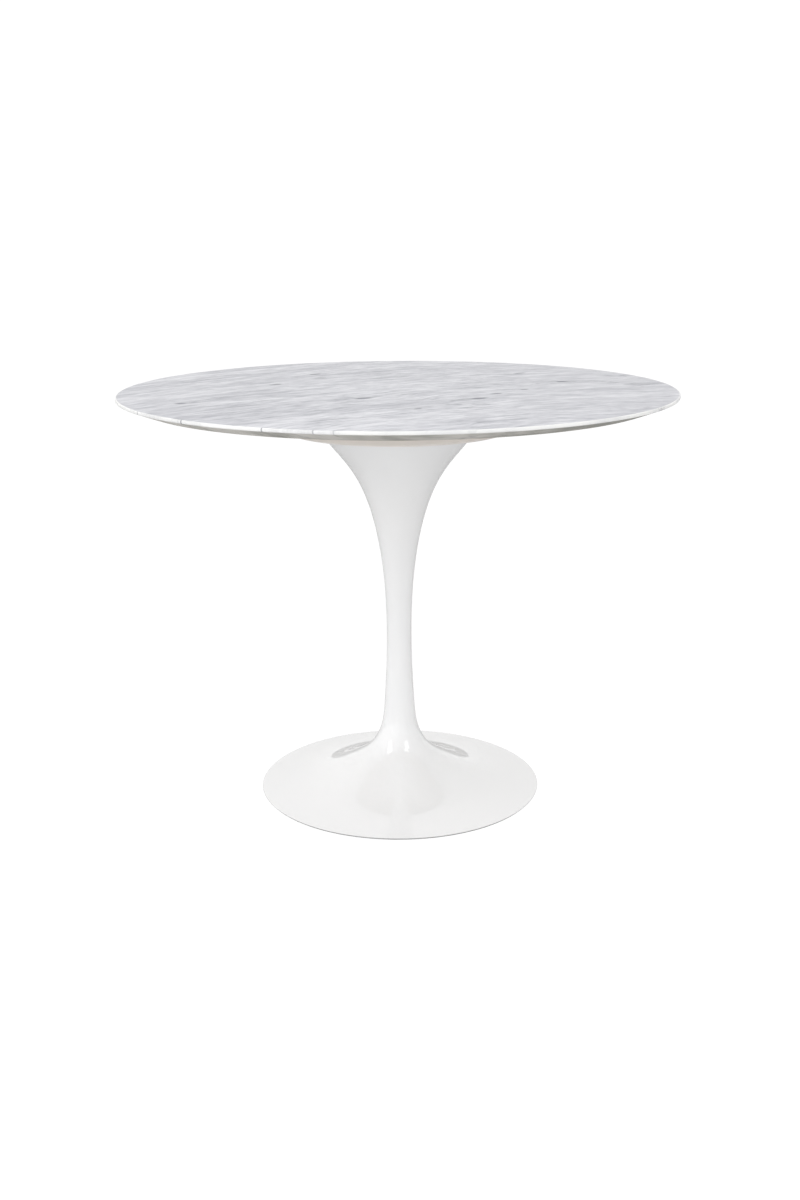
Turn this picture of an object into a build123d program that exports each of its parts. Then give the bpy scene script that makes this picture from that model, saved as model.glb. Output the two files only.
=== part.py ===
from build123d import *
import os
from math import cos, radians, sin

# Round pedestal table, millimetres, +Z up, origin on the floor under the middle of the base.
# A stone top is bonded to a board, the board is bolted to a cast flange, and a tie rod through
# the hollow pedestal pulls the flange down on the pedestal's mouth.

# ---- stone top -------------------------------------------------------------------------------
table_height = 750.0
top_dia = 1000.0
top_thick = 20.0
nosing_height = 5.5       # upright band round the edge of the stone
undercut_width = 40.0     # how far the underside bevel runs in from the edge
nosing_round = 1.5

# ---- adhesive beads and backing board ----------------------------------------------------------
bead_thick = 1.0
bead_width = 12.0
bead_count = 3
bead_inner_dia = 160.0
bead_pitch = 60.0         # radial step from one bead to the next
board_dia = 480.0
board_thick = 18.0
board_chamfer = 2.0

# ---- flange under the board --------------------------------------------------------------------
flange_dia = 410.0
flange_height = 33.0
flange_floor = 7.0
flange_wall = 8.0
flange_edge_round = 4.0
rib_count = 6
rib_thick = 6.0
rib_drop = 3.0            # the ribs stop this far below the board
hub_dia = 80.0
hub_height = 12.0
spigot_height = 10.0
spigot_wall = 9.5
spigot_gap = 0.5
gasket_thick = 1.0
gasket_margin = 2.0       # the gasket stays this far inside the mouth's outer edge

# ---- pedestal outline: stations from the mouth to the rim ----------------------------------------
mouth_dia = 286.6
mouth_lean = 53.6         # degrees between the wall and the floor at the mouth
shoulder_dia = 165.6
shoulder_drop = 77.0      # below the mouth
throat_dia = 82.0
throat_drop = 187.0       # below the mouth
waist_dia = 45.8
waist_height = 300.0
ankle_dia = 55.6
ankle_height = 160.0
heel_dia = 71.4
heel_height = 110.0
instep_dia = 104.0
instep_height = 80.0
slope_dia = 201.2
slope_height = 45.0
dish_dia = 309.0
dish_height = 21.0
base_dia = 521.0          # to the sharp corner of the rim, before it is rounded
rim_height = 4.0
rim_lean = 4.0            # degrees between the wall and the floor at the rim

# ---- pedestal casting ----------------------------------------------------------------------------
wall = 7.0
rim_clearance = 1.0       # gap from the rim's underside to the floor
rim_undercut = 3.0        # how far the rim's edge slopes in under its corner
rim_round = 0.6
lip_width = 22.0
lip_depth = 10.0
web_height = 84.0         # underside of the web that carries the tie rod's lower end
web_thick = 12.0

# ---- tie rod and its fasteners (M16) ---------------------------------------------------------------
rod_dia = 16.0
rod_hole_dia = 17.5
rod_chamfer = 1.0
rod_spare = 2.0           # rod that stands past each outer nut
nut_flats = 24.0
nut_facet = 1.0
nut_height = 13.0
jam_nut_height = 8.0
rod_washer_dia = 30.0
rod_washer_thick = 3.0
spring_washer_dia = 27.0
spring_washer_thick = 3.5
spring_washer_slit = 3.0
clamp_plate_dia = 64.0
clamp_plate_thick = 6.0
clamp_plate_chamfer = 1.0

# ---- M8 bolts, washers and inserts -------------------------------------------------------------------
bolt_dia = 8.0
bolt_hole_dia = 9.0
bolt_head_dia = 13.0
bolt_head_height = 8.0
bolt_socket_flats = 6.0
bolt_socket_depth = 4.0
bolt_washer_dia = 16.0
bolt_washer_thick = 1.6
counterbore_dia = 18.0
counterbore_depth = 10.0
thread_gap = 0.3          # between a thread's crest and the bore that it runs in, on diameter
flange_bolt_count = 6
flange_boss_dia = 26.0
insert_dia = 12.0
insert_length = 13.0
insert_gap = 0.2
tip_gap = 1.0             # between a screw's tip and the end of its hole

# ---- ballast ------------------------------------------------------------------------------------------
ballast_inner_dia = 100.0
ballast_outer_dia = 270.0
ballast_bottom = 8.0
ballast_top = 34.0
ballast_gap = 1.5         # to the inside of the dish
ballast_bolt_count = 3
ballast_bolt_circle_dia = 180.0
ballast_boss_dia = 22.0
ballast_thread_depth = 10.0

# ---- base cover, its screws and the rubber foot --------------------------------------------------------
rim_land = 16.0           # flat of the rim between the foot's groove and the cover
cover_thick = 2.0
cover_gap = 0.5
cover_screw_count = 6
cover_screw_circle_dia = 300.0
cover_boss_dia = 12.0
screw_dia = 4.0
screw_hole_dia = 4.4
screw_head_dia = 7.6
screw_head_gap = 0.1
screw_length = 8.0
screw_slot_width = 1.0
screw_slot_depth = 0.8
foot_inset = 20.0         # rubber ring to the outer edge of the rim
foot_width = 10.0
foot_height = 2.0

# ---- heights that follow from the stack ------------------------------------------------------------------
stone_bottom = table_height - top_thick
board_top = stone_bottom - bead_thick
board_bottom = board_top - board_thick
flange_bottom = board_bottom - flange_height
hub_top = flange_bottom + hub_height
mouth_height = flange_bottom - gasket_thick
web_top = web_height + web_thick
cover_seat = rim_clearance + cover_thick
flange_bolt_circle_dia = (mouth_dia + flange_dia) / 2
lip_bore = mouth_dia / 2 - lip_width
foot_outer_radius = base_dia / 2 - foot_inset
cover_radius = foot_outer_radius - foot_width - rim_land

stations = [
    (mouth_dia / 2, mouth_height),
    (shoulder_dia / 2, mouth_height - shoulder_drop),
    (throat_dia / 2, mouth_height - throat_drop),
    (waist_dia / 2, waist_height),
    (ankle_dia / 2, ankle_height),
    (heel_dia / 2, heel_height),
    (instep_dia / 2, instep_height),
    (slope_dia / 2, slope_height),
    (dish_dia / 2, dish_height),
    (base_dia / 2, rim_height),
]
mouth_tangent = (-cos(radians(mouth_lean)), -sin(radians(mouth_lean)))
rim_tangent = (cos(radians(rim_lean)), -sin(radians(rim_lean)))
outer_wall = Spline(*stations, tangents=(mouth_tangent, rim_tangent), tangent_scalars=(1, 1),
                    mode=Mode.PRIVATE)
wall_steps = 24


def wall_at_depth(depth):
    """Points of the pedestal's wall, mouth to rim, moved in towards the hollow by depth."""
    points = []
    for step in range(wall_steps + 1):
        place, heading = outer_wall @ (step / wall_steps), outer_wall % (step / wall_steps)
        points.append((place.X + depth * heading.Y, place.Y - depth * heading.X))
    return points


def under_wall(depth):
    """The space between the axis and the wall moved in by depth, as a face of radius and height."""
    points = wall_at_depth(depth)
    with BuildSketch() as space:
        with BuildLine():
            Spline(*points)
            Polyline(points[-1], (0, points[-1][1]), (0, points[0][1]), points[0])
        make_face()
    return space.sketch


def save(piece, name):
    """Label a finished piece and write it as its own STEP file."""
    piece.part.label = name
    export_step(piece.part, f"parts/{name}.step")


def ring_between(inner_radius, outer_radius, bottom, height):
    """A flat ring about the axis, in the current part."""
    with BuildSketch(Plane.XY.offset(bottom)) as ring:
        Circle(outer_radius)
        Circle(inner_radius, mode=Mode.SUBTRACT)
    extrude(ring.sketch, amount=height)


def hex_nut(bottom, height):
    """A hexagon nut on the tie rod, in the current part, with turned-down corners."""
    with BuildSketch(Plane.XY.offset(bottom)) as hexagon:
        RegularPolygon(nut_flats / 2, 6, major_radius=False)
        Circle((rod_dia + thread_gap) / 2, mode=Mode.SUBTRACT)
    extrude(hexagon.sketch, amount=height)
    corner = nut_flats / 2 / cos(radians(30))
    with BuildSketch(Plane.XZ) as turned:
        with BuildLine():
            Polyline((0, bottom), (corner - nut_facet, bottom), (corner, bottom + nut_facet),
                     (corner, bottom + height - nut_facet), (corner - nut_facet, bottom + height),
                     (0, bottom + height), close=True)
        make_face()
    revolve(turned.sketch, axis=Axis.Z, mode=Mode.INTERSECT)


def cap_bolts(circle, count, head_bottom, tip):
    """Socket-head bolts standing head down on a circle, in the current part."""
    with BuildSketch(Plane.XY.offset(head_bottom)) as heads:
        with PolarLocations(circle / 2, count):
            Circle(bolt_head_dia / 2)
    extrude(heads.sketch, amount=bolt_head_height)
    with BuildSketch(Plane.XY.offset(head_bottom)) as shanks:
        with PolarLocations(circle / 2, count):
            Circle(bolt_dia / 2)
    extrude(shanks.sketch, amount=tip - head_bottom)
    with BuildSketch(Plane.XY.offset(head_bottom)) as sockets:
        with PolarLocations(circle / 2, count):
            RegularPolygon(bolt_socket_flats / 2, 6, major_radius=False)
    extrude(sockets.sketch, amount=bolt_socket_depth, mode=Mode.SUBTRACT)


def plain_washers(circle, count, bottom):
    """Flat washers for the M8 bolts, on a circle, in the current part."""
    with BuildSketch(Plane.XY.offset(bottom)) as washers:
        with PolarLocations(circle / 2, count):
            Circle(bolt_washer_dia / 2)
            Circle((bolt_dia + thread_gap) / 2, mode=Mode.SUBTRACT)
    extrude(washers.sketch, amount=bolt_washer_thick)


os.makedirs("parts", exist_ok=True)

# ---- marble top: a slab with a thin upright edge and a wide bevel underneath ----
with BuildPart() as marble_top:
    with BuildSketch(Plane.XZ) as slab:
        with BuildLine():
            Polyline((0, table_height), (top_dia / 2, table_height),
                     (top_dia / 2, table_height - nosing_height),
                     (top_dia / 2 - undercut_width, stone_bottom), (0, stone_bottom), close=True)
        make_face()
        fillet(slab.vertices().sort_by(Axis.X)[-2:], nosing_round)
    revolve(axis=Axis.Z)
save(marble_top, "marble_top")

# ---- adhesive beads between the stone and the board ----
with BuildPart() as bonding_beads:
    for index in range(bead_count):
        inner = bead_inner_dia / 2 + index * bead_pitch
        ring_between(inner, inner + bead_width, board_top, bead_thick)
save(bonding_beads, "bonding_beads")

# ---- backing board, with blind holes for the threaded inserts ----
with BuildPart() as backing_board:
    with BuildSketch(Plane.XY.offset(board_bottom)):
        Circle(board_dia / 2)
    extrude(amount=board_thick)
    chamfer(backing_board.edges().group_by(Axis.Z)[0], board_chamfer)
    with BuildSketch(Plane.XY.offset(board_bottom)):
        with PolarLocations(flange_bolt_circle_dia / 2, flange_bolt_count):
            Circle((insert_dia + insert_gap) / 2)
    extrude(amount=insert_length, mode=Mode.SUBTRACT)
save(backing_board, "backing_board")

with BuildPart() as board_inserts:
    with BuildSketch(Plane.XY.offset(board_bottom)):
        with PolarLocations(flange_bolt_circle_dia / 2, flange_bolt_count):
            Circle(insert_dia / 2)
            Circle((bolt_dia + thread_gap) / 2, mode=Mode.SUBTRACT)
    extrude(amount=insert_length)
save(board_inserts, "board_inserts")

# ---- flange: an upturned pan with a hub, ribs, bolt bosses and a spigot below ----
with BuildPart() as top_flange:
    with BuildSketch(Plane.XY.offset(flange_bottom)):
        Circle(flange_dia / 2)
    extrude(amount=flange_height)
    with BuildSketch(Plane.XY.offset(flange_bottom + flange_floor)):
        Circle(flange_dia / 2 - flange_wall)
    extrude(amount=flange_height - flange_floor, mode=Mode.SUBTRACT)
    with BuildSketch(Plane.XY.offset(flange_bottom)):
        Circle(hub_dia / 2)
    extrude(amount=hub_height)
    with BuildSketch(Plane.XY.offset(flange_bottom)):
        with PolarLocations(flange_bolt_circle_dia / 2, flange_bolt_count):
            Circle(flange_boss_dia / 2)
    extrude(amount=flange_height)
    rib_run = (flange_dia - flange_wall - hub_dia) / 2
    with BuildSketch(Plane.XY.offset(flange_bottom)):
        with PolarLocations(hub_dia / 2 + rib_run / 2, rib_count):
            Rectangle(rib_run, rib_thick)
    extrude(amount=flange_height - rib_drop)
    ring_between(lip_bore - spigot_gap - spigot_wall, lip_bore - spigot_gap,
                 flange_bottom - spigot_height, spigot_height)
    with BuildSketch(Plane.XY.offset(flange_bottom)):
        Circle(rod_hole_dia / 2)
        with PolarLocations(flange_bolt_circle_dia / 2, flange_bolt_count):
            Circle(bolt_hole_dia / 2)
    extrude(amount=flange_height, mode=Mode.SUBTRACT)
    with BuildSketch(Plane.XY.offset(flange_bottom)):
        with PolarLocations(flange_bolt_circle_dia / 2, flange_bolt_count):
            Circle(counterbore_dia / 2)
    extrude(amount=counterbore_depth, mode=Mode.SUBTRACT)
    lower_rim = top_flange.edges().filter_by(GeomType.CIRCLE).sort_by(SortBy.RADIUS)[-2:].sort_by(Axis.Z)[0]
    fillet(lower_rim, flange_edge_round)
save(top_flange, "top_flange")

flange_washer_bottom = flange_bottom + counterbore_depth - bolt_washer_thick
with BuildPart() as flange_washers:
    plain_washers(flange_bolt_circle_dia, flange_bolt_count, flange_washer_bottom)
save(flange_washers, "flange_washers")

with BuildPart() as flange_bolts:
    cap_bolts(flange_bolt_circle_dia, flange_bolt_count,
              flange_washer_bottom - bolt_head_height, board_bottom + insert_length - tip_gap)
save(flange_bolts, "flange_bolts")

with BuildPart() as mouth_gasket:
    ring_between(lip_bore + spigot_gap, mouth_dia / 2 - gasket_margin, mouth_height, gasket_thick)
save(mouth_gasket, "mouth_gasket")

# ---- pedestal: one hollow casting from the mouth to the rim ----
with BuildPart() as hollow:
    with BuildSketch(Plane.XZ):
        add(under_wall(wall))
        with Locations((0, cover_seat)):
            Rectangle(base_dia * 2, mouth_height, align=(Align.CENTER, Align.MAX), mode=Mode.SUBTRACT)
    revolve(axis=Axis.Z)
    with BuildSketch(Plane.XY.offset(web_height)):
        Circle(mouth_dia / 2)
    extrude(amount=web_thick, mode=Mode.SUBTRACT)
    with BuildSketch(Plane.XY.offset(mouth_height - lip_depth)):
        Circle(mouth_dia)
        Circle(lip_bore, mode=Mode.SUBTRACT)
    extrude(amount=lip_depth, mode=Mode.SUBTRACT)
    with BuildSketch(Plane.XY.offset(ballast_top)):
        with PolarLocations(ballast_bolt_circle_dia / 2, ballast_bolt_count):
            Circle(ballast_boss_dia / 2)
    extrude(amount=web_height - ballast_top, mode=Mode.SUBTRACT)
    with BuildSketch(Plane.XY.offset(cover_seat)):
        with PolarLocations(cover_screw_circle_dia / 2, cover_screw_count):
            Circle(cover_boss_dia / 2)
    extrude(amount=web_height - cover_seat, mode=Mode.SUBTRACT)

with BuildPart() as pedestal:
    with BuildSketch(Plane.XZ):
        with BuildLine():
            add(outer_wall)
            Polyline((base_dia / 2, rim_height), (base_dia / 2 - rim_undercut, rim_clearance),
                     (0, rim_clearance), (0, mouth_height), (mouth_dia / 2, mouth_height))
        make_face()
    revolve(axis=Axis.Z)
    add(hollow.part, mode=Mode.SUBTRACT)
    with BuildSketch(Plane.XY.offset(web_height)):
        Circle(rod_hole_dia / 2)
    extrude(amount=web_thick, mode=Mode.SUBTRACT)
    with BuildSketch(Plane.XY.offset(ballast_top)):
        with PolarLocations(ballast_bolt_circle_dia / 2, ballast_bolt_count):
            Circle((bolt_dia + thread_gap) / 2)
    extrude(amount=ballast_thread_depth, mode=Mode.SUBTRACT)
    with BuildSketch(Plane.XY.offset(cover_seat)):
        with PolarLocations(cover_screw_circle_dia / 2, cover_screw_count):
            Circle((screw_dia + thread_gap) / 2)
    extrude(amount=screw_length - cover_thick + tip_gap, mode=Mode.SUBTRACT)
    with BuildSketch(Plane.XY.offset(rim_clearance)):
        Circle(cover_radius + cover_gap)
    extrude(amount=cover_thick, mode=Mode.SUBTRACT)
    with BuildSketch(Plane.XY.offset(rim_clearance)):
        Circle(foot_outer_radius)
        Circle(foot_outer_radius - foot_width, mode=Mode.SUBTRACT)
    extrude(amount=foot_height - rim_clearance, mode=Mode.SUBTRACT)
    fillet(pedestal.edges().filter_by(GeomType.CIRCLE).sort_by(SortBy.RADIUS)[-1], rim_round)
save(pedestal, "pedestal")

# ---- tie rod on the axis, with its nuts and washers at both ends ----
rod_top_washer_bottom = hub_top
rod_top_nut_bottom = rod_top_washer_bottom + rod_washer_thick
clamp_plate_bottom = web_height - clamp_plate_thick
rod_lower_washer_bottom = clamp_plate_bottom - rod_washer_thick
spring_washer_bottom = rod_lower_washer_bottom - spring_washer_thick
clamp_nut_bottom = spring_washer_bottom - nut_height
jam_nut_bottom = clamp_nut_bottom - jam_nut_height
rod_top = rod_top_nut_bottom + nut_height + rod_spare
rod_bottom = jam_nut_bottom - rod_spare

with BuildPart() as tie_rod:
    with BuildSketch(Plane.XY.offset(rod_bottom)):
        Circle(rod_dia / 2)
    extrude(amount=rod_top - rod_bottom)
    chamfer(tie_rod.edges().filter_by(GeomType.CIRCLE), rod_chamfer)
save(tie_rod, "tie_rod")

with BuildPart() as rod_top_washer:
    ring_between(rod_hole_dia / 2, rod_washer_dia / 2, rod_top_washer_bottom, rod_washer_thick)
save(rod_top_washer, "rod_top_washer")

with BuildPart() as rod_top_nut:
    hex_nut(rod_top_nut_bottom, nut_height)
save(rod_top_nut, "rod_top_nut")

with BuildPart() as clamp_plate:
    ring_between(rod_hole_dia / 2, clamp_plate_dia / 2, clamp_plate_bottom, clamp_plate_thick)
    outer_edges = clamp_plate.edges().filter_by(GeomType.CIRCLE).sort_by(SortBy.RADIUS)[-2:]
    chamfer(outer_edges.sort_by(Axis.Z)[0], clamp_plate_chamfer)
save(clamp_plate, "clamp_plate")

with BuildPart() as rod_lower_washer:
    ring_between(rod_hole_dia / 2, rod_washer_dia / 2, rod_lower_washer_bottom, rod_washer_thick)
save(rod_lower_washer, "rod_lower_washer")

with BuildPart() as spring_washer:
    ring_between((rod_dia + thread_gap) / 2, spring_washer_dia / 2, spring_washer_bottom, spring_washer_thick)
    with BuildSketch(Plane.XY.offset(spring_washer_bottom)):
        Rectangle(spring_washer_dia, spring_washer_slit, align=(Align.MIN, Align.CENTER))
    extrude(amount=spring_washer_thick, mode=Mode.SUBTRACT)
save(spring_washer, "spring_washer")

with BuildPart() as clamp_nut:
    hex_nut(clamp_nut_bottom, nut_height)
save(clamp_nut, "clamp_nut")

with BuildPart() as jam_nut:
    hex_nut(jam_nut_bottom, jam_nut_height)
save(jam_nut, "jam_nut")

# ---- cast ballast ring that fills the dish below its wall, bolted up to three bosses ----
with BuildPart() as ballast_ring:
    with BuildSketch(Plane.XZ):
        add(under_wall(wall + ballast_gap))
        with Locations((ballast_inner_dia / 2, ballast_bottom)):
            Rectangle((ballast_outer_dia - ballast_inner_dia) / 2, ballast_top - ballast_bottom,
                      align=(Align.MIN, Align.MIN), mode=Mode.INTERSECT)
    revolve(axis=Axis.Z)
    with BuildSketch(Plane.XY.offset(ballast_bottom)):
        with PolarLocations(ballast_bolt_circle_dia / 2, ballast_bolt_count):
            Circle(bolt_hole_dia / 2)
    extrude(amount=ballast_top - ballast_bottom, mode=Mode.SUBTRACT)
    with BuildSketch(Plane.XY.offset(ballast_bottom)):
        with PolarLocations(ballast_bolt_circle_dia / 2, ballast_bolt_count):
            Circle(counterbore_dia / 2)
    extrude(amount=counterbore_depth, mode=Mode.SUBTRACT)
save(ballast_ring, "ballast_ring")

ballast_washer_bottom = ballast_bottom + counterbore_depth - bolt_washer_thick
with BuildPart() as ballast_washers:
    plain_washers(ballast_bolt_circle_dia, ballast_bolt_count, ballast_washer_bottom)
save(ballast_washers, "ballast_washers")

with BuildPart() as ballast_bolts:
    cap_bolts(ballast_bolt_circle_dia, ballast_bolt_count,
              ballast_washer_bottom - bolt_head_height, ballast_top + ballast_thread_depth - tip_gap)
save(ballast_bolts, "ballast_bolts")

# ---- cover under the dish, countersunk for its screws ----
with BuildPart() as base_cover:
    with BuildSketch(Plane.XY.offset(rim_clearance)):
        Circle(cover_radius)
    extrude(amount=cover_thick)
    with Locations(Plane((0, 0, rim_clearance), x_dir=(1, 0, 0), z_dir=(0, 0, -1))):
        with PolarLocations(cover_screw_circle_dia / 2, cover_screw_count):
            CounterSinkHole(screw_hole_dia / 2, screw_head_dia / 2 + screw_head_gap, cover_thick,
                            counter_sink_angle=90)
save(base_cover, "base_cover")

with BuildPart() as cover_screws:
    with Locations((0, 0, rim_clearance)):
        with PolarLocations(cover_screw_circle_dia / 2, cover_screw_count):
            Cone(screw_head_dia / 2, screw_dia / 2, (screw_head_dia - screw_dia) / 2,
                 align=(Align.CENTER, Align.CENTER, Align.MIN))
            Cylinder(screw_dia / 2, screw_length, align=(Align.CENTER, Align.CENTER, Align.MIN))
            Box(screw_head_dia, screw_slot_width, screw_slot_depth,
                align=(Align.CENTER, Align.CENTER, Align.MIN), mode=Mode.SUBTRACT)
save(cover_screws, "cover_screws")

# ---- rubber ring in the rim's groove, the only thing that touches the floor ----
with BuildPart() as foot_ring:
    ring_between(foot_outer_radius - foot_width, foot_outer_radius, 0, foot_height)
save(foot_ring, "foot_ring")
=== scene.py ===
import math

import bmesh
import bpy
from mathutils import Matrix, Vector


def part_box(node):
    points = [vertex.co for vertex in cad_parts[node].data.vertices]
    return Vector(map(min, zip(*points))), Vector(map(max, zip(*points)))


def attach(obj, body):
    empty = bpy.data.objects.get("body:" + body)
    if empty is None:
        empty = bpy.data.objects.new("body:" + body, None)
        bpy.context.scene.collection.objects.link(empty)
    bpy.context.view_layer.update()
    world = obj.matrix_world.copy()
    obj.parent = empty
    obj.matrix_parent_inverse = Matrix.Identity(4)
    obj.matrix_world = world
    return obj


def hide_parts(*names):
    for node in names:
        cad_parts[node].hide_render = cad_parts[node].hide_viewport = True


bl_info = {
    "name": "Round pedestal table",
    "version": (1, 0, 0),
    "blender": (4, 5, 0),
    "location": "3D Viewport > Sidebar > Pedestal Table",
    "description": "Dresses the solids of a marble-topped pedestal table and sets up a studio for it",
    "category": "Object",
}

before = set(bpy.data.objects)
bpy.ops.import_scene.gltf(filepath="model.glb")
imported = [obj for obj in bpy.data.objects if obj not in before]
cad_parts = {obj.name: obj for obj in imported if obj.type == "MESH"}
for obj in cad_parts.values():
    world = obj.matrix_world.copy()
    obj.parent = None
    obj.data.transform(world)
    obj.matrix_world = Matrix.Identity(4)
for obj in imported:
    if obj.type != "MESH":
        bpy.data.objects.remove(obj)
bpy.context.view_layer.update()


# ---- settings ---------------------------------------------------------------------------------


def length(name, description, default):
    """A length in metres that a user can change."""
    return bpy.props.FloatProperty(name=name, description=description, default=default, min=0,
                                   unit="LENGTH")


def colour(name, description, default):
    """A linear colour that a user can change."""
    return bpy.props.FloatVectorProperty(name=name, description=description, default=default, size=3,
                                         min=0, max=1, subtype="COLOR")


def share(name, description, default):
    """A number from 0 to 1 that a user can change."""
    return bpy.props.FloatProperty(name=name, description=description, default=default, min=0, max=1,
                                   subtype="FACTOR")


def number(name, description, default):
    """A plain number that a user can change."""
    return bpy.props.FloatProperty(name=name, description=description, default=default, min=0)


def angle(name, description, degrees):
    """An angle that a user can change."""
    return bpy.props.FloatProperty(name=name, description=description, default=math.radians(degrees),
                                   subtype="ANGLE")


def count(name, description, default, least):
    """A whole number that a user can change."""
    return bpy.props.IntProperty(name=name, description=description, default=default, min=least)


def station(name, radius, height):
    """A place on the pedestal's outline, as radius and height."""
    description = f"Radius and height of the outline at the {name.lower()}"
    return bpy.props.FloatVectorProperty(name=name, description=description, default=(radius, height),
                                         size=2, unit="LENGTH")


class StoneSettings(bpy.types.PropertyGroup):
    """The marble top."""
    nosing: length("Nosing", "Height of the upright band round the edge", 0.0055)
    undercut: length("Undercut", "How far the bevel under the edge runs in", 0.04)
    arris: length("Arris", "Radius of the two edges of the nosing", 0.0015)
    facets: count("Facets", "Sides of the round edge", 256, 32)
    ground: colour("Ground", "Palest stone between the veins", (0.63, 0.63, 0.66))
    cloud: colour("Cloud", "Grey of the broad clouded streaks", (0.313, 0.317, 0.35))
    vein: colour("Vein", "Grey of the thin veins and flecks", (0.18, 0.185, 0.21))
    # Painted highlight: the nosing gets paler stone to stand in for the light it catches from the front.
    edge: colour("Edge", "Paler stone of the nosing", (0.80, 0.80, 0.785))
    sawn: colour("Sawn", "Stone of the undercut, which isn't polished", (0.546, 0.5265, 0.494))
    stained: colour("Stained", "Darkest stain of the undercut", (0.29, 0.286, 0.26))
    # Partly painted shade: the resin's amber is darker than the stone, so that the shaded underside
    # reflects darker in the pedestal's gloss.
    resin_and_shade: colour("Sealed", "Amber resin that seals the underside", (0.50, 0.44, 0.36))
    grain_turn: angle("Grain turn", "Plan angle of the streaks", 32)
    grain_bend: number("Grain bend", "How fast the streaks flatten out from left to right", 0.517)
    cloud_contrast: number("Cloud contrast", "How much the broad clouded streaks show", 1.1)
    streak_contrast: number("Streak contrast", "How much the narrow streaks show", 1.6)
    fibre_contrast: number("Fibre contrast", "How much the finest streaks show", 2.0)
    figure: number("Figure", "Strength of clouds, streaks and fibres together", 1.03)
    calm: share("Calm", "How much weaker the figure is at the right edge", 0.32)
    greyness: share("Greyness", "Where plain stone lies between the palest and the clouded grey", 0.45)
    seams: share("Seams", "Strength of the broken dark seams along the grain", 0.45)
    highlight_cover: share("Edge cover", "How far the nosing takes on its paler stone", 0.95)
    highlight_gaps: share("Edge gaps", "How much of that is missing where the stone is patchy", 0.35)
    stain_contrast: number("Stain contrast", "How sharply the undercut's stains stand out", 3.6)
    stain_start: number("Stain start", "How much of the stains is held back", 1.35)
    # Painted shade: the undercut grows darker to the right, standing in for light that falls from the left.
    right_shade_slope: number("Stain slope", "How much more stained each metre to the right is", 1.1)
    roughness: share("Roughness", "Roughness of the polished face", 0.36)


class PedestalSettings(bpy.types.PropertyGroup):
    """The pedestal casting."""
    mouth: station("Mouth", 0.1433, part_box("pedestal")[1].z)
    shoulder: station("Shoulder", 0.0828, 0.6)
    throat: station("Throat", 0.041, 0.49)
    waist: station("Waist", 0.0229, 0.3)
    ankle: station("Ankle", 0.0278, 0.16)
    heel: station("Heel", 0.0357, 0.11)
    instep: station("Instep", 0.052, 0.08)
    slope: station("Slope", 0.1006, 0.045)
    dish: station("Dish", 0.1545, 0.021)
    rim: station("Rim", 0.2605, 0.004)
    mouth_lean: angle("Mouth lean", "Angle from the floor to the wall at the mouth", 53.6)
    rim_lean: angle("Rim lean", "Angle from the floor to the wall at the rim", 4)
    wall: length("Wall", "Thickness of the casting", 0.007)
    lip_width: length("Lip width", "Width of the seat inside the mouth", 0.022)
    lip_depth: length("Lip depth", "Depth of the seat inside the mouth", 0.01)
    web_thick: length("Web", "Thickness of the web that holds the tie rod", 0.012)
    rod_hole: length("Rod hole", "Radius of the hole in the web", 0.00875)
    rim_undercut: length("Rim undercut", "How far the rim's edge slopes in under its corner", 0.003)
    rim_round: length("Rim round", "Reach of the rounding along each face of the rim's corner", 0.0013)
    groove_width: length("Groove width", "Width of the groove that holds the floor ring", 0.01)
    cover_gap: length("Cover gap", "Gap round the cover under the base", 0.0005)
    steps: count("Steps", "Steps of the turned casting", 224, 32)
    bends: count("Bends", "Pieces of the outline between two stations", 14, 2)


class FinishSettings(bpy.types.PropertyGroup):
    """Colours of the other finishes."""
    lacquer: colour("Lacquer", "White of the pedestal", (0.798, 0.80, 0.806))
    # Painted shade and painted warm light: the flange is a darker, warmer white than the pedestal, standing
    # in for the shade under the top and the warm light thrown up onto it.
    flange: colour("Flange", "Warmer white of the flange, which has yellowed", (0.755, 0.716, 0.681))
    # Painted shade: the rim's edge under its corner, which faces the floor, is coloured grey to stand in
    # for the shadow there.
    rim_shadow: colour("Scuff", "Grey of the scuffed edge that faces the floor", (0.39, 0.39, 0.39))
    rim_shadow_height: length("Scuff height", "Height under which the edge is scuffed", 0.0041)
    rubber: colour("Rubber", "Grey of the gasket and the floor ring", (0.10, 0.10, 0.10))
    steel: colour("Steel", "Zinc-plated steel", (0.62, 0.63, 0.65))
    iron: colour("Iron", "Primed cast iron of the ballast", (0.10, 0.095, 0.09))
    brass: colour("Brass", "Brass of the threaded inserts", (0.70, 0.52, 0.25))
    # Partly painted shade: the board's cream is darker than plain white, so that it reflects darker in the
    # pedestal's gloss.
    board: colour("Board", "Painted backing board", (0.66, 0.58, 0.46))
    plastic: colour("Plastic", "Moulded cover under the base", (0.16, 0.16, 0.165))
    adhesive: colour("Adhesive", "Beads between the board and the stone", (0.55, 0.52, 0.45))


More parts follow.
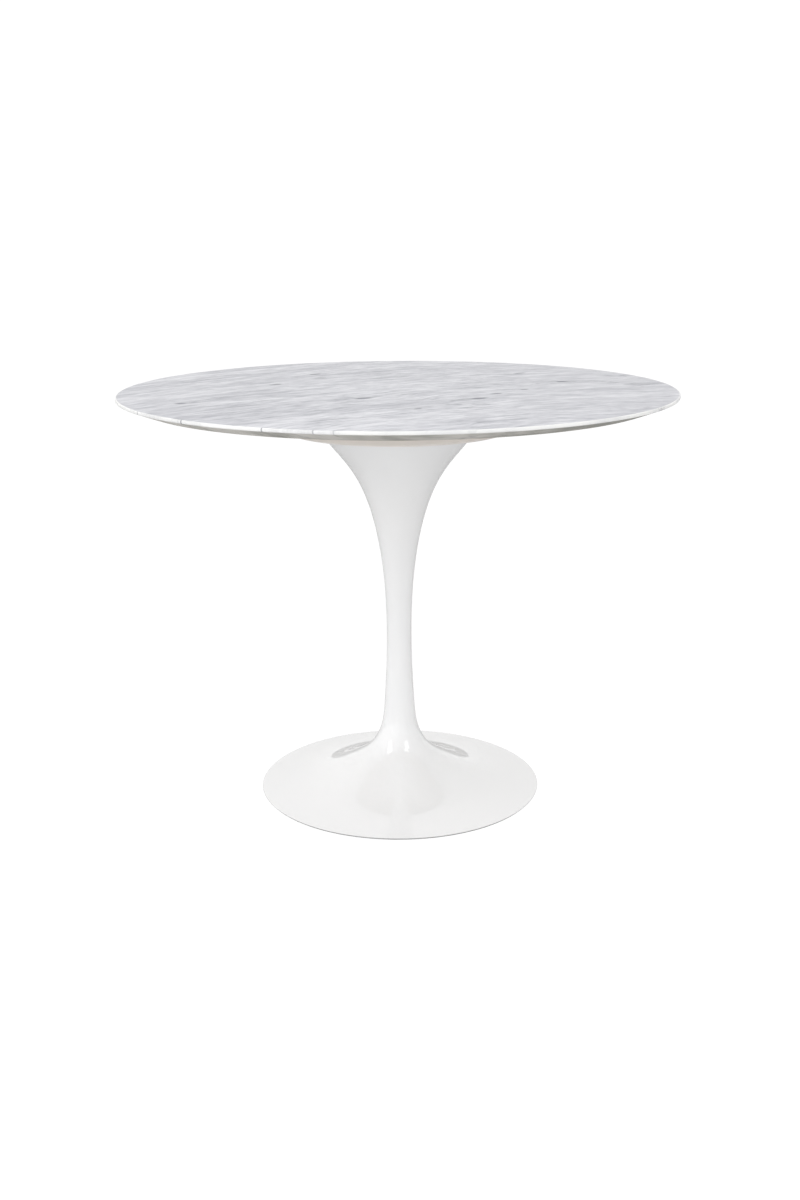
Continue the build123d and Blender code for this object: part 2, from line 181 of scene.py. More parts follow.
class StudioSettings(bpy.types.PropertyGroup):
    """Floor, lights and camera."""
    camera_back: length("Camera back", "From the table's axis to the camera", 2.5191)
    camera_up: length("Camera up", "From the floor to the camera", 1.0601)
    pitch: angle("Pitch", "How far the camera looks down", 11.31)
    roll: angle("Roll", "Turn of the camera about its own axis", -0.347)
    lens: bpy.props.FloatProperty(name="Lens", description="Focal length", default=42.174, unit="CAMERA")
    sensor: number("Sensor", "Width of the sensor in millimetres", 36)
    shift: bpy.props.FloatVectorProperty(name="Shift", description="Shift of the lens to the right and up",
                                         default=(0.0014, -0.08767), size=2)
    floor: colour("Floor", "What the floor throws back in front of the table", (0.83, 0.833, 0.836))
    floor_back: colour("Floor behind", "What the floor throws back behind the table", (0.5, 0.5, 0.5))
    floor_glow: share("Floor glow", "How far the floor's own white covers its tone in the picture", 0.88)
    white: number("White", "Strength at which the floor and the surround look white", 1.1)
    horizon: number("Horizon", "Strength of the surround low down, all round", 1.16)
    zenith: number("Zenith", "Strength of the surround overhead", 0.6)
    frontal: number("Frontal", "How much stronger the surround is on the camera's side", 0.97)
    backlight: number("Backlight", "How much stronger the surround is high up behind the table", 0.3)
    key_turn: angle("Key turn", "How far left of the camera the brightest side is", 45)
    left_power: number("Left power", "Watts of the left softbox", 7.5)
    right_power: number("Right power", "Watts of the right softbox", 7.5)
    above_power: number("Above power", "Watts of the softbox above the camera", 5.5)


# ---- shader nodes -----------------------------------------------------------------------------


class Value:
    """A socket of a finish on which Python's arithmetic works: each operation adds its Math node."""

    def __init__(self, finish, socket):
        self.finish = finish
        self.socket = socket

    def math(self, operation, *others, clamp=False):
        """One Math node with this value first."""
        settings = {"operation": operation, "use_clamp": clamp}
        return self.finish.add("ShaderNodeMath", settings, dict(enumerate((self, *others))))

    def __add__(self, other):
        return self.math("ADD", other)

    __radd__ = __add__

    def __sub__(self, other):
        return self.math("SUBTRACT", other)

    def __rsub__(self, other):
        return self.finish.add("ShaderNodeMath", {"operation": "SUBTRACT"}, {0: other, 1: self})

    def __mul__(self, other):
        return self.math("MULTIPLY", other)

    __rmul__ = __mul__

    def __abs__(self):
        return self.math("ABSOLUTE")

    def clamped(self):
        """This value held between 0 and 1."""
        return self.math("ADD", 0, clamp=True)

    def step(self, start, end):
        """A smooth step from 0 at start to 1 at end."""
        return self.finish.add("ShaderNodeMapRange", {"interpolation_type": "SMOOTHSTEP"},
                               {"Value": self, "From Min": start, "From Max": end})


class Finish:
    """The nodes of one material, or of the surround."""

    def __init__(self, owner):
        self.owner = owner
        owner.use_nodes = True
        self.tree = owner.node_tree
        self.tree.nodes.clear()

    @classmethod
    def new(cls, name):
        """An empty material of that name."""
        return cls(bpy.data.materials.new(name))

    def add(self, kind, settings=None, inputs=None, output=0):
        """Adds a node, sets it up, feeds its sockets and returns one of its outputs, if it has any."""
        node = self.tree.nodes.new(kind)
        for name, setting in (settings or {}).items():
            setattr(node, name, setting)
        for name, given in (inputs or {}).items():
            socket = node.inputs[name]
            if isinstance(given, Value):
                self.tree.links.new(given.socket, socket)
            else:
                socket.default_value = given
        return Value(self, node.outputs[output]) if node.outputs else None

    def place(self):
        """The point on the piece, in metres from the object's origin."""
        return self.add("ShaderNodeTexCoord", output="Object")

    def axis(self, place, name):
        """One coordinate of a place or a direction."""
        return self.add("ShaderNodeSeparateXYZ", None, {"Vector": place}, name)

    def vector(self, operation, *inputs, output=0):
        """One Vector Math node."""
        return self.add("ShaderNodeVectorMath", {"operation": operation}, dict(enumerate(inputs)), output)

    def noise(self, place, scale, detail, roughness=0.5, output=0):
        """Smooth noise, with scale in waves per metre."""
        inputs = {"Vector": place, "Scale": scale, "Detail": detail, "Roughness": roughness}
        return self.add("ShaderNodeTexNoise", None, inputs, output)

    def mix(self, factor, first, second):
        """The first colour where the factor is 0 and the second where it is 1."""
        return self.add("ShaderNodeMix", {"data_type": "RGBA"}, {"Factor": factor, 6: first, 7: second}, 2)

    def bump(self, height, distance, strength):
        """A normal from a height between 0 and 1 that stands for distance in metres."""
        inputs = {"Height": height, "Distance": distance, "Strength": strength}
        return self.add("ShaderNodeBump", None, inputs)

    def surface(self, **inputs):
        """The material with a Principled shader that has these inputs."""
        named = {name.replace("_", " ").title(): given for name, given in inputs.items()}
        sockets = {name.replace("Ior", "IOR"): given for name, given in named.items()}
        return self.shown(self.add("ShaderNodeBsdfPrincipled", None, sockets))

    def shown(self, shader, kind="ShaderNodeOutputMaterial"):
        """The material or surround itself, once its shader is wired to the output."""
        self.add(kind, None, {"Surface": shader})
        return self.owner


def opaque(rgb, strength=1.0):
    """A colour, made weaker or stronger, with full alpha."""
    return (*(channel * strength for channel in rgb), 1)


# ---- finishes ---------------------------------------------------------------------------------

# How much rougher than their smoothest spot lacquer, metal, and paint or rubber can be.
LACQUER_SPREAD = 0.05
METAL_SPREAD = 0.2
PAINT_SPREAD = 0.15
LACQUER_ROUGHNESS = 0.35
RUBBER_ROUGHNESS = 0.6
# How far below its upper limit the painted shade under the rim's corner is full.
RIM_SHADOW_FADE = 0.0002

# Noises of the marble: waves per metre across the grain, stretch along it, detail and roughness.
CLOUD = (8.0, 4.0, 4.0, 0.6)
STREAK = (40.0, 4.5, 5.0, 0.65)
FIBRE = (150.0, 5.0, 3.0, 0.6)
SEAM = (13.0, 5.0, 5.0, 0.55)
STAIN = (22.0, 2.5, 3.0, 0.6)
# Every noise varies about this value.
NOISE_MEAN = 0.5
# How far the noise is stretched through the thickness of the slab.
DEPTH_STRETCH = 3
# How far slow noise moves the whole figure in plan, and quick noise moves the streaks front to back.
DRIFT_REACH = 0.05
WIGGLE_REACH = 0.012
# From where to where, right of the axis, the figure grows calm.
CALM_SPAN = (0.1, 0.45)
# Distance of a seam's noise from its mean where the seam fades out and where it is full.
SEAM_SPAN = (0.016, 0.002)
# The same for a mark, in shares of its size. A mark runs right through the slab.
MARK_SPAN = (1.0, 0.3)
MARK_DEPTH = 1000
# Heights above the slab's underside where the resin fades out and where it is full.
RESIN_SPAN = (0.0004, 0.0001)
# How far below the nosing the sawn stone shows in full.
SAWN_FADE = 0.001
# Strength of the dark marks where the streaks are palest, and what the greyest streaks add to it.
MARK_LEAST = 0.4
MARK_GAIN = 1.2
# How much rougher than the polish the clouded, the dark and the sawn stone is.
ROUGHER_CLOUD = 0.06
ROUGHER_MARK = 0.1
ROUGHER_SAWN = 0.2

# Marks that stand out on the stone: plan place of the middle, length, half width and strength.
STONE_VEINS = (
    ((-0.10, 0.25), 0.62, 0.0045, 0.55),
    ((-0.25, -0.22), 0.20, 0.006, 0.40),
    ((-0.11, -0.385), 0.13, 0.0035, 0.75),
    ((0.03, -0.25), 0.11, 0.0035, 0.65),
    ((0.11, -0.15), 0.10, 0.006, 0.5),
    ((-0.417, -0.276), 0.05, 0.0015, 0.8),
    ((-0.328, -0.377), 0.05, 0.0015, 1.0),
    ((-0.202, -0.457), 0.05, 0.0015, 0.8),
    ((-0.122, -0.485), 0.04, 0.0015, 0.6),
)
STONE_FLECKS = (
    ((-0.357, -0.185), 0.034, 0.0075, 1.60),
    ((-0.228, 0.073), 0.036, 0.0067, 1.60),
    ((-0.160, 0.245), 0.036, 0.0083, 1.25),
    ((-0.063, -0.110), 0.050, 0.0135, 1.04),
    ((0.140, -0.140), 0.054, 0.0135, 1.04),
    ((0.175, -0.073), 0.030, 0.0067, 1.60),
    ((0.227, -0.010), 0.024, 0.0053, 1.60),
    ((0.242, 0.248), 0.030, 0.0060, 1.60),
    ((0.312, 0.110), 0.030, 0.0075, 1.60),
    ((0.030, -0.262), 0.020, 0.0053, 1.60),
    ((0.288, -0.408), 0.020, 0.0037, 1.46),
    ((0.305, -0.396), 0.020, 0.0037, 1.25),
)


def marble():
    """Pale polished marble with grey streaks that run one way, veins, flecks and a sawn undercut."""
    stone = bpy.context.scene.pedestal_table_stone
    low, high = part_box("marble_top")
    finish = Finish.new("polished_marble")
    point = finish.place()
    across, level = finish.axis(point, "X"), finish.axis(point, "Z")
    drift = finish.noise(point, scale=4.0, detail=2.0, output="Color")
    drift = finish.vector("MULTIPLY_ADD", drift, (DRIFT_REACH, DRIFT_REACH, 0), point)
    wiggle = finish.noise(point, scale=26.0, detail=2.0, output="Color")
    drawn = finish.vector("MULTIPLY_ADD", wiggle, (0, WIGGLE_REACH, 0), drift)
    bend = finish.add("ShaderNodeCombineXYZ", None, {"Y": across * across * stone.grain_bend})
    drawn = finish.vector("ADD", drawn, bend)

    def along_grain(place, **inputs):
        """A place seen in a frame that is turned with the grain."""
        inputs.update({"Vector": place, "Rotation": (0, 0, stone.grain_turn)})
        return finish.add("ShaderNodeMapping", {"vector_type": "TEXTURE"}, inputs)

    def streaked(scale, stretch, detail, roughness):
        """Noise drawn out along the grain."""
        return finish.noise(along_grain(drawn, Scale=(stretch, 1, DEPTH_STRETCH)), scale, detail, roughness)

    cloud, streak, fibre = streaked(*CLOUD), streaked(*STREAK), streaked(*FIBRE)
    figure = ((cloud - NOISE_MEAN) * stone.cloud_contrast + (streak - NOISE_MEAN) * stone.streak_contrast
              + (fibre - NOISE_MEAN) * stone.fibre_contrast)
    calm = stone.figure - across.step(*CALM_SPAN) * stone.calm
    grey = (figure * calm + stone.greyness).clamped()
    patchy = finish.noise(point, scale=7.0, detail=2.0).step(start=0.46, end=0.62)
    dark = abs(streaked(*SEAM) - NOISE_MEAN).step(*SEAM_SPAN) * patchy * stone.seams
    for (x, y), span, half_width, strength in STONE_VEINS + STONE_FLECKS:
        middle = (x + DRIFT_REACH * NOISE_MEAN, y + DRIFT_REACH * NOISE_MEAN, 0)
        mark = along_grain(drift, Location=middle, Scale=(span / 2, half_width, MARK_DEPTH))
        dark = dark + finish.vector("LENGTH", mark, output="Value").step(*MARK_SPAN) * strength
    dark = (dark * (streak * MARK_GAIN + MARK_LEAST)).clamped()
    plan = finish.vector("MULTIPLY", point, (1, 1, 0))
    out = finish.vector("LENGTH", plan, output="Value")
    # Painted highlight: paler stone along the nosing, broken where the stone is patchy, stands in for the
    # light the edge catches.
    edge = out.step(high.x - 2 * stone.arris, high.x - stone.arris)
    pale = finish.mix(grey, opaque(stone.ground), opaque(stone.cloud))
    pale = finish.mix(edge * (stone.highlight_cover - patchy * stone.highlight_gaps), pale, opaque(stone.edge))
    # The undercut's stains come from noise; the slope across it is painted shade.
    stain = streaked(*STAIN) * stone.stain_contrast - stone.stain_start + across * stone.right_shade_slope
    undercut = finish.mix(stain.clamped(), opaque(stone.sawn), opaque(stone.stained))
    sawn = level.step(high.z - stone.nosing, high.z - stone.nosing - SAWN_FADE)
    tone = finish.mix(dark, finish.mix(sawn, pale, undercut), opaque(stone.vein))
    # Partly painted shade: the resin under the slab is darkened so that the shaded underside reflects
    # darker.
    resin_and_shade = level.step(*(low.z + height for height in RESIN_SPAN))
    tone = finish.mix(resin_and_shade, tone, opaque(stone.resin_and_shade))
    rough = grey * ROUGHER_CLOUD + dark * ROUGHER_MARK + sawn * ROUGHER_SAWN + stone.roughness
    grain = finish.bump(fibre, distance=0.00001, strength=0.2)
    return finish.surface(base_color=tone, roughness=rough, normal=grain, specular_ior_level=0.2)


def lacquer():
    """Thick glossy white lacquer with a faint orange peel, and grey painted shade on the rim's edge where
    it faces the floor.
    """
    looks = bpy.context.scene.pedestal_table_finishes
    finish = Finish.new("white_gloss_lacquer")
    point = finish.place()
    peel = finish.noise(point, scale=260.0, detail=1.0)
    patch = finish.noise(point, scale=6.0, detail=2.0)
    tone = finish.mix(patch, opaque(looks.lacquer), opaque(looks.lacquer, strength=0.985))
    # Painted shade: grey under the rim's corner stands in for the shadow where the edge faces the floor.
    shadowed = finish.axis(point, "Z").step(looks.rim_shadow_height, looks.rim_shadow_height - RIM_SHADOW_FADE)
    tone = finish.mix(shadowed, tone, opaque(looks.rim_shadow))
    return finish.surface(base_color=tone, roughness=patch * LACQUER_SPREAD + LACQUER_ROUGHNESS,
                          coat_weight=1.0, coat_roughness=0.02, specular_ior_level=0.0,
                          normal=finish.bump(peel, distance=0.00002, strength=0.12))


def rubber():
    """Moulded rubber, dull, with fine grain."""
    looks = bpy.context.scene.pedestal_table_finishes
    finish = Finish.new("moulded_rubber")
    grain = finish.noise(finish.place(), scale=900.0, detail=3.0)
    tone = finish.mix(grain, opaque(looks.rubber), opaque(looks.rubber, strength=1.3))
    return finish.surface(base_color=tone, roughness=grain * PAINT_SPREAD + RUBBER_ROUGHNESS,
                          normal=finish.bump(grain, distance=0.0001, strength=0.4))


def metal(name, rgb, dullness, waves):
    """Bare or plated metal with faint stains and a grain of so many waves per metre."""
    finish = Finish.new(name)
    point = finish.place()
    grain = finish.noise(point, waves, detail=4.0)
    stain = finish.noise(point, scale=60.0, detail=2.0)
    tone = finish.mix(stain, opaque(rgb), opaque(rgb, strength=0.86))
    return finish.surface(base_color=tone, metallic=1.0, roughness=grain * METAL_SPREAD + dullness,
                          normal=finish.bump(grain, distance=0.00005, strength=0.3))


def painted(name, rgb, dullness, waves, depth):
    """A painted, moulded or cast surface with a grain of so many waves per metre and such a depth."""
    finish = Finish.new(name)
    point = finish.place()
    grain = finish.noise(point, waves, detail=4.0, roughness=0.6)
    patch = finish.noise(point, scale=25.0, detail=3.0)
    tone = finish.mix(patch, opaque(rgb), opaque(rgb, strength=0.9))
    return finish.surface(base_color=tone, roughness=grain * PAINT_SPREAD + dullness,
                          normal=finish.bump(grain, depth, strength=0.6))


# ---- modelling --------------------------------------------------------------------------------

# How far a vertex may lie from where a test expects it.
SLACK = 0.00005
# Vertices that are nearer to each other than this are merged.
WELD = 0.00001
# Faces that turn by less than this at an edge are shaded as one surface.
SMOOTH_UP_TO = math.radians(30)
# A round end face is inset this often, each time by this share of its radius.
END_RINGS = 4
END_RING_SHARE = 0.22
# Steps across the rounding of the nosing's two edges, and of the rim's corner.
ARRIS_SEGMENTS = 5
RIM_SEGMENTS = 4
# The stations of the outline, from the top down.
OUTLINE = ("mouth", "shoulder", "throat", "waist", "ankle", "heel", "instep", "slope", "dish", "rim")


def deselect_all():
    """Leaves nothing selected, so that an operator acts only on what is added next."""
    for other in bpy.context.selected_objects:
        other.select_set(False)


def pick(test, domain="EDGE"):
    """Selects the edges or faces, of the mesh in edit mode, whose centre and corners pass the test."""
    bpy.ops.mesh.select_mode(type=domain)
    bpy.ops.mesh.select_all(action="DESELECT")
    mesh = bmesh.from_edit_mesh(bpy.context.edit_object.data)
    for element in mesh.edges if domain == "EDGE" else mesh.faces:
        corners = [vertex.co for vertex in element.verts]
        if test(sum(corners, Vector()) / len(corners), corners):
            element.select_set(True)
    mesh.select_flush_mode()
    bmesh.update_edit_mesh(bpy.context.edit_object.data)


def on_circle(radius, *heights):
    """A test for edges that lie on a circle about the axis, at one of the heights."""
    def test(_, corners):
        return any(all(abs(c.xy.length - radius) < SLACK and abs(c.z - height) < SLACK for c in corners)
                   for height in heights)
    return test


def end_face(radius, height):
    """A test for the round face that closes a cylinder at a height."""
    def test(centre, _):
        return abs(centre.z - height) < SLACK and centre.xy.length < radius / 2
    return test


def finish_piece(piece, name, material, nodes):
    """Names a finished piece, dresses it and puts it in place of its solids."""
    bpy.ops.object.shade_smooth_by_angle(angle=SMOOTH_UP_TO)
    piece.name = piece.data.name = name
    piece.data.materials.clear()
    piece.data.materials.append(material)
    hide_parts(*nodes)
    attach(piece, "root")


def dress(nodes, material):
    """Gives solids that keep their own shape a better finish."""
    for name in nodes:
        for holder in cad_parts[name].material_slots:
            holder.material = material


def batten_slopes(points, first, last):
    """Slopes of the smooth curve through the points, bent like a thin batten with both ends held."""
    gaps = [(b - a).length for a, b in zip(points, points[1:])]
    below, above, middle, wanted = [0.0], [0.0], [1.0], [first]
    for i in range(1, len(points) - 1):
        before, after = gaps[i - 1], gaps[i]
        coming, going = points[i] - points[i - 1], points[i + 1] - points[i]
        below.append(after)
        middle.append(2 * (before + after))
        above.append(before)
        wanted.append(3 * (going * before / after + coming * after / before))
    for i in range(1, len(wanted)):
        factor = below[i] / middle[i - 1]
        middle[i] -= factor * above[i - 1]
        wanted[i] = wanted[i] - wanted[i - 1] * factor
    slopes = [last]
    for i in reversed(range(len(wanted))):
        slopes.insert(0, (wanted[i] - slopes[0] * above[i]) / middle[i])
    return slopes, gaps


def draw_outline(knots, bends):
    """Draws a closed section in the XZ plane. Each knot is a place and two handles, None where straight."""
    deselect_all()
    bpy.ops.curve.primitive_bezier_curve_add()
    curve = bpy.context.object
    curve.data.resolution_u = bends
    spline = curve.data.splines[0]
    spline.bezier_points.add(len(knots) - len(spline.bezier_points))
    for knot, (place, handle_in, handle_out) in zip(spline.bezier_points, knots):
        knot.co = (place.x, 0, place.y)
        knot.handle_left_type = "VECTOR" if handle_in is None else "FREE"
        knot.handle_right_type = "VECTOR" if handle_out is None else "FREE"
        if handle_in is not None:
            knot.handle_left = (handle_in.x, 0, handle_in.y)
        if handle_out is not None:
            knot.handle_right = (handle_out.x, 0, handle_out.y)
    spline.use_cyclic_u = True
    bpy.ops.object.convert(target="MESH")
    return bpy.context.object


def spin_outline(steps):
    """Turns the active mesh's outline once round the axis and closes it."""
    bpy.ops.object.mode_set(mode="EDIT")
    bpy.ops.mesh.select_all(action="SELECT")
    bpy.ops.mesh.spin(steps=steps, angle=math.tau, center=(0, 0, 0), axis=(0, 0, 1))
    bpy.ops.mesh.select_all(action="SELECT")
    bpy.ops.mesh.remove_doubles(threshold=WELD)
    bpy.ops.mesh.normals_make_consistent(inside=False)


def corner(radius, height):
    """A sharp knot of an outline."""
    return Vector((radius, height)), None, None


def wall_knots(points, slopes, gaps):
    """Knots of a smooth wall that starts and ends in a corner."""
    knots = []
    for i, (point, slope) in enumerate(zip(points, slopes)):
        handle_in = point - slope * gaps[i - 1] / 3 if i > 0 else None
        handle_out = point + slope * gaps[i] / 3 if i < len(gaps) else None
        knots.append((point, handle_in, handle_out))
    return knots


# ---- pieces -----------------------------------------------------------------------------------


class PolishedTop(bpy.types.Operator):
    """Model the marble slab with its nosing and undercut"""
    bl_idname = "pedestal_table.polished_top"
    bl_label = "Polished top"

    def execute(self, context):
        stone = context.scene.pedestal_table_stone
        low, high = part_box("marble_top")
        radius = (high.x - low.x) / 2
        undercut_radius = radius - stone.undercut
        deselect_all()
        middle = (0, 0, high.z - stone.nosing / 2)
        bpy.ops.mesh.primitive_cylinder_add(vertices=stone.facets, radius=radius, depth=stone.nosing,
                                            end_fill_type="NGON", location=middle)
        piece = context.object
        bpy.ops.object.transform_apply()
        bpy.ops.object.mode_set(mode="EDIT")
        pick(end_face(radius, high.z - stone.nosing), "FACE")
        fall = (0, 0, low.z + stone.nosing - high.z)
        bpy.ops.mesh.extrude_region_move(TRANSFORM_OT_translate={"value": fall})
        shrink = undercut_radius / radius
        bpy.ops.transform.resize(value=(shrink, shrink, 1), center_override=(0, 0, low.z))
        self.ring_face(undercut_radius)
        pick(end_face(radius, high.z), "FACE")
        self.ring_face(radius)
        pick(on_circle(radius, high.z, high.z - stone.nosing))
        bpy.ops.mesh.bevel(offset=stone.arris, segments=ARRIS_SEGMENTS, profile=0.5, clamp_overlap=True)
        bpy.ops.mesh.select_all(action="SELECT")
        bpy.ops.mesh.normals_make_consistent(inside=False)
        bpy.ops.object.mode_set(mode="OBJECT")
        finish_piece(piece, "polished_top", marble(), ["marble_top"])
        return {"FINISHED"}

    @staticmethod
    def ring_face(radius):
        """Insets the selected round face until only a small fan is left in its middle."""
        for _ in range(END_RINGS):
            bpy.ops.mesh.inset(thickness=radius * END_RING_SHARE)
        bpy.ops.mesh.poke()


class PedestalCasting(bpy.types.Operator):
    """Model the hollow pedestal from its section"""
    bl_idname = "pedestal_table.pedestal_casting"
    bl_label = "Pedestal casting"

    def execute(self, context):
        sizes = context.scene.pedestal_table_pedestal
        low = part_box("pedestal")[0]
        groove_outer, _, groove_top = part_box("foot_ring")[1]
        groove_inner = groove_outer - sizes.groove_width
        cover_outer, _, cover_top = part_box("base_cover")[1]
        recess = cover_outer + sizes.cover_gap
        web_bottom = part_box("clamp_plate")[1].z
        web_top = web_bottom + sizes.web_thick
        lip_radius = sizes.mouth[0] - sizes.lip_width
        lip_height = sizes.mouth[1] - sizes.lip_depth
        points = [Vector(getattr(sizes, name)) for name in OUTLINE]
        first = -Vector((math.cos(sizes.mouth_lean), math.sin(sizes.mouth_lean)))
        last = Vector((math.cos(sizes.rim_lean), -math.sin(sizes.rim_lean)))
        slopes, gaps = batten_slopes(points, first, last)
        knots = wall_knots(points, slopes, gaps)
        rim_foot = (sizes.rim[0] - sizes.rim_undercut, low.z)
        groove = ((groove_outer, low.z), (groove_outer, groove_top),
                  (groove_inner, groove_top), (groove_inner, low.z))
        underside = (rim_foot, *groove, (recess, low.z), (recess, cover_top))
        inner = self.inner_wall(points, slopes, gaps, sizes)
        lower = self.between(inner, cover_top, web_bottom)
        upper = self.between(inner, web_top, lip_height)
        bore = ((sizes.rod_hole, web_bottom), (sizes.rod_hole, web_top))
        lip = ((lip_radius, lip_height), (lip_radius, sizes.mouth[1]))
        knots += [corner(*place) for place in (*underside, *reversed(lower), *bore, *reversed(upper), *lip)]
        piece = draw_outline(knots, sizes.bends)
        spin_outline(sizes.steps)
        pick(on_circle(*sizes.rim))
        bpy.ops.mesh.bevel(offset=sizes.rim_round, segments=RIM_SEGMENTS, profile=0.5)
        bpy.ops.object.mode_set(mode="OBJECT")
        finish_piece(piece, "pedestal_casting", lacquer(), ["pedestal"])
        return {"FINISHED"}

    @staticmethod
    def inner_wall(points, slopes, gaps, sizes):
        """Places of the wall's inner face, mouth to rim: the outer curve, moved in square to itself."""
        places = []
        for i, gap in enumerate(gaps):
            start, end = points[i], points[i + 1]
            for step in range(sizes.bends):
                t = step / sizes.bends
                place = (start * (1 + 2 * t) * (1 - t) ** 2 + end * t * t * (3 - 2 * t)
                         + slopes[i] * gap * t * (1 - t) ** 2 - slopes[i + 1] * gap * t * t * (1 - t))
                heading = ((end - start) * 6 * t * (1 - t) + slopes[i] * gap * (1 - t) * (1 - 3 * t)
                           + slopes[i + 1] * gap * t * (3 * t - 2)).normalized()
                places.append(place + Vector((heading.y, -heading.x)) * sizes.wall)
        return places

    @staticmethod
    def between(places, low, high):
        """The stretch of a falling wall between two heights, cut off exactly at both."""
        kept = []
        for start, end in zip(places, places[1:]):
            for height in (high, low):
                if end.y < height <= start.y:
                    kept.append(start.lerp(end, (start.y - height) / (start.y - end.y)))
            if low < end.y < high:
                kept.append(end)
        return sorted(kept, key=lambda place: -place.y)


class RubberRings(bpy.types.Operator):
    """Finish the gasket under the flange and the ring that stands on the floor"""
    bl_idname = "pedestal_table.rubber_rings"
    bl_label = "Rubber rings"

    def execute(self, context):
        dress(["mouth_gasket", "foot_ring"], rubber())
        return {"FINISHED"}


class Backing(bpy.types.Operator):
    """Finish the board, its inserts and the adhesive"""
    bl_idname = "pedestal_table.backing"
    bl_label = "Backing"

    def execute(self, context):
        looks = context.scene.pedestal_table_finishes
        board = painted("painted_board", looks.board, dullness=0.35, waves=300.0, depth=0.00005)
        brass = metal("turned_brass", looks.brass, dullness=0.2, waves=1500.0)
        adhesive = painted("cured_adhesive", looks.adhesive, dullness=0.4, waves=200.0, depth=0.0002)
        dress(["backing_board"], board)
        dress(["board_inserts"], brass)
        dress(["bonding_beads"], adhesive)
        return {"FINISHED"}


class Flange(bpy.types.Operator):
    """Finish the flange that the top sits on"""
    bl_idname = "pedestal_table.flange"
    bl_label = "Flange"

    def execute(self, context):
        looks = context.scene.pedestal_table_finishes
        # The flange's darker, warmer white is painted shade and painted warm light.
        shaded_coat = painted("flange_lacquer", looks.flange, dullness=0.25, waves=260.0, depth=0.00002)
        dress(["top_flange"], shaded_coat)
        return {"FINISHED"}


class Fasteners(bpy.types.Operator):
    """Finish the tie rod, nuts, bolts and washers"""
    bl_idname = "pedestal_table.fasteners"
    bl_label = "Fasteners"

    def execute(self, context):
        looks = context.scene.pedestal_table_finishes
        steel = metal("zinc_plated_steel", looks.steel, dullness=0.22, waves=1200.0)
        dress(["tie_rod", "rod_top_washer", "rod_top_nut", "rod_lower_washer"], steel)
        dress(["clamp_plate", "spring_washer", "clamp_nut", "jam_nut"], steel)
        dress(["flange_bolts", "flange_washers", "ballast_bolts", "ballast_washers", "cover_screws"], steel)
        return {"FINISHED"}


class BaseFill(bpy.types.Operator):
    """Finish the ballast and the cover under it"""
    bl_idname = "pedestal_table.base_fill"
    bl_label = "Base fill"

    def execute(self, context):
        looks = context.scene.pedestal_table_finishes
        iron = painted("cast_iron", looks.iron, dullness=0.55, waves=250.0, depth=0.0004)
        plastic = painted("moulded_plastic", looks.plastic, dullness=0.45, waves=900.0, depth=0.0001)
        dress(["ballast_ring"], iron)
        dress(["base_cover"], plastic)
        return {"FINISHED"}


# ---- studio -----------------------------------------------------------------------------------

WHITE = (1, 1, 1, 1)
FLOOR_SIZE = 40
# How far behind the axis the floor starts to take on its rear tone, and how far it has it in full.
FLOOR_SPAN = (-0.2, 0.6)
# How much of the rear tone fine grain mixes in everywhere.
FLOOR_GRAIN = 0.05
# Sine of the elevation where the surround has the zenith's strength, and where it has the horizon's.
ZENITH_SPAN = (0.95, 0.6)
# Direction from the table of the side that is brighter high up.
BACKLIGHT_FROM = (-0.5, 0.87, 0)
# The point on the axis that the softboxes face, and how far from it they are.
SOFTBOX_TARGET = Vector((0, 0, 0.1))
SOFTBOX_DISTANCE = 2.2
# Each softbox: degrees right of the camera's side, degrees up, width, height, and True if it lights
# matt surfaces only, False if it shows in gloss only.
SOFTBOXES = {
    "left": (-52, 42, 0.65, 1.05, False),
    "right": (37, 42, 0.55, 1.05, False),
    "above": (-8, 56, 2.0, 0.4, True),
}


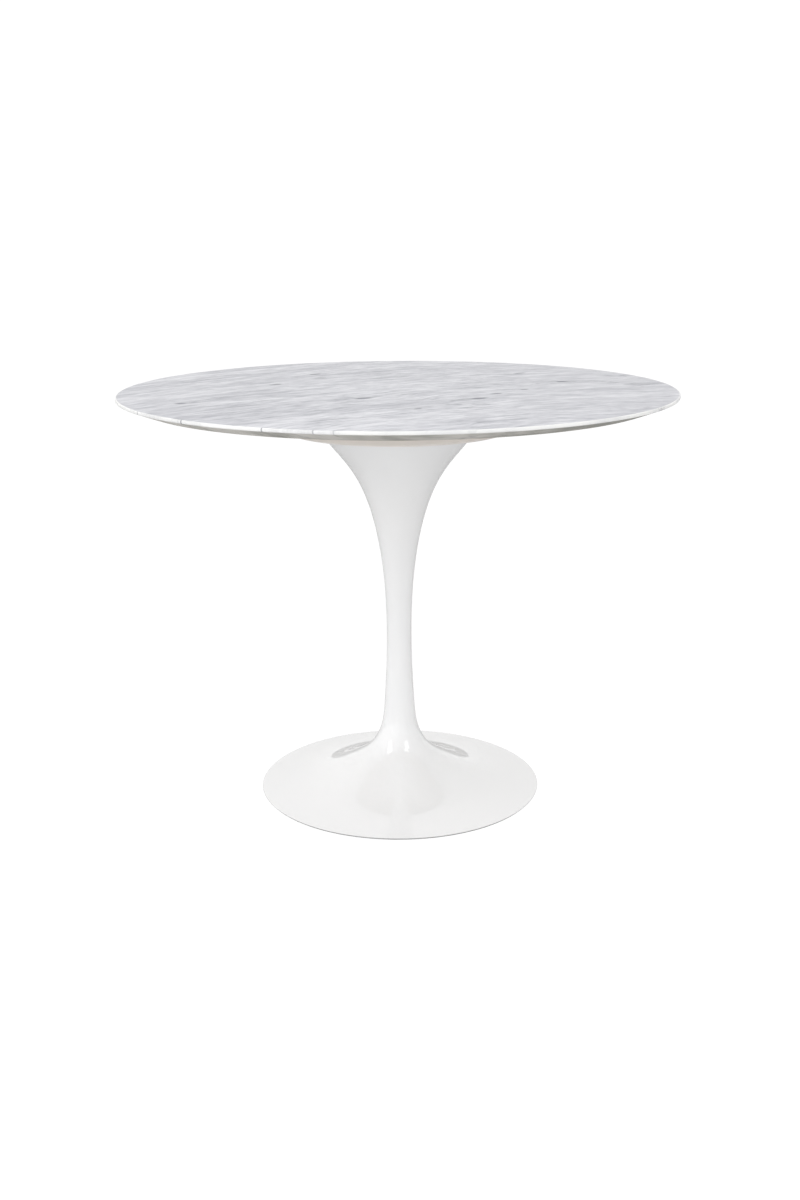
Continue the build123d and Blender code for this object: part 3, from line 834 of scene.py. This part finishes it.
class Studio(bpy.types.Operator):
    """Set up the floor, the surround, the lights and the camera"""
    bl_idname = "pedestal_table.studio"
    bl_label = "Studio"

    def execute(self, context):
        studio = context.scene.pedestal_table_studio
        self.floor(context, studio)
        self.surround(context, studio)
        for side, setup in SOFTBOXES.items():
            self.softbox(context, f"softbox_{side}", getattr(studio, f"{side}_power"), *setup)
        self.camera(context, studio)
        context.scene.view_settings.view_transform = "Standard"
        return {"FINISHED"}

    @staticmethod
    def floor(context, studio):
        """A wide floor that looks white and throws back less than that."""
        deselect_all()
        bpy.ops.mesh.primitive_plane_add(size=FLOOR_SIZE)
        floor = context.object
        floor.name = "studio_floor"
        finish = Finish.new("studio_floor")
        point = finish.place()
        grain = finish.noise(point, scale=400.0, detail=3.0)
        back = finish.axis(point, "Y").step(*FLOOR_SPAN)
        tone = finish.mix(back + grain * FLOOR_GRAIN, opaque(studio.floor), opaque(studio.floor_back))
        matt = finish.add("ShaderNodeBsdfDiffuse", None, {"Color": tone, "Roughness": 0.5})
        glow = finish.add("ShaderNodeEmission", None, {"Color": WHITE, "Strength": studio.white})
        seen = finish.add("ShaderNodeLightPath", output="Is Camera Ray")
        look = finish.add("ShaderNodeMixShader", None, {"Fac": seen * studio.floor_glow, 1: matt, 2: glow})
        floor.data.materials.append(finish.shown(look))

    @staticmethod
    def surround(context, studio):
        """A surround that looks white, and lights the table most from the front and from low down."""
        sky = Finish(bpy.data.worlds.new("studio_surround"))
        context.scene.world = sky.owner
        way = sky.add("ShaderNodeTexCoord", output="Generated")
        height = sky.axis(way, "Z").clamped()
        key = (-math.sin(studio.key_turn), -math.cos(studio.key_turn), 0)
        front = sky.vector("DOT_PRODUCT", way, key, output="Value").clamped()
        behind = sky.vector("DOT_PRODUCT", way, BACKLIGHT_FROM, output="Value").clamped()
        low = height.step(*ZENITH_SPAN)
        around = front * (1 - height) * studio.frontal + behind * height * studio.backlight + studio.horizon
        strength = low * around + (1 - low) * studio.zenith
        light = sky.add("ShaderNodeBackground", None, {"Color": WHITE, "Strength": strength})
        white = sky.add("ShaderNodeBackground", None, {"Color": WHITE, "Strength": studio.white})
        seen = sky.add("ShaderNodeLightPath", output="Is Camera Ray")
        look = sky.add("ShaderNodeMixShader", None, {"Fac": seen, 1: light, 2: white})
        sky.shown(look, "ShaderNodeOutputWorld")

    @staticmethod
    def softbox(context, name, power, azimuth, elevation, width, height, lights_matt):
        """A rectangular light, hidden from the camera, that faces the base."""
        turn, lift = math.radians(azimuth), math.radians(elevation)
        away = Vector((math.sin(turn) * math.cos(lift), -math.cos(turn) * math.cos(lift), math.sin(lift)))
        deselect_all()
        bpy.ops.object.light_add(type="AREA", location=SOFTBOX_TARGET + away * SOFTBOX_DISTANCE)
        light = context.object
        light.name = light.data.name = name
        light.rotation_euler = away.to_track_quat("Z", "Y").to_euler()
        light.visible_camera = False
        light.visible_diffuse = lights_matt
        light.visible_glossy = not lights_matt
        light.data.shape = "RECTANGLE"
        light.data.size = width
        light.data.size_y = height
        light.data.energy = power

    @staticmethod
    def camera(context, studio):
        """The camera that takes the picture."""
        bpy.ops.object.camera_add()
        camera = context.object
        camera.name = "studio_camera"
        camera.matrix_world = (Matrix.Translation((0, -studio.camera_back, studio.camera_up))
                               @ Matrix.Rotation(math.pi / 2 - studio.pitch, 4, "X")
                               @ Matrix.Rotation(studio.roll, 4, "Z"))
        camera.data.sensor_width = studio.sensor
        camera.data.lens = studio.lens
        camera.data.shift_x, camera.data.shift_y = studio.shift
        context.scene.camera = camera


# ---- panel and registration -------------------------------------------------------------------

GROUPS = {
    "stone": StoneSettings,
    "pedestal": PedestalSettings,
    "finishes": FinishSettings,
    "studio": StudioSettings,
}
STEPS = (PolishedTop, PedestalCasting, Flange, RubberRings, Backing, Fasteners, BaseFill, Studio)


class TablePanel(bpy.types.Panel):
    """Sizes, colours and steps of the pedestal table"""
    bl_idname = "VIEW3D_PT_pedestal_table"
    bl_label = "Pedestal Table"
    bl_space_type = "VIEW_3D"
    bl_region_type = "UI"
    bl_category = "Pedestal Table"

    def draw(self, context):
        for group in GROUPS:
            settings = getattr(context.scene, f"pedestal_table_{group}")
            box = self.layout.box()
            box.label(text=group.title())
            for name in type(settings).__annotations__:
                box.prop(settings, name)
        for step in STEPS:
            self.layout.operator(step.bl_idname)


def register():
    for name, group in GROUPS.items():
        bpy.utils.register_class(group)
        setattr(bpy.types.Scene, f"pedestal_table_{name}", bpy.props.PointerProperty(type=group))
    for each in (*STEPS, TablePanel):
        bpy.utils.register_class(each)


def unregister():
    for each in reversed((*STEPS, TablePanel)):
        bpy.utils.unregister_class(each)
    for name, group in GROUPS.items():
        delattr(bpy.types.Scene, f"pedestal_table_{name}")
        bpy.utils.unregister_class(group)


def main():
    register()
    for step in STEPS:
        group, name = step.bl_idname.split(".")
        getattr(getattr(bpy.ops, group), name)()


if __name__ == "__main__":
    main()
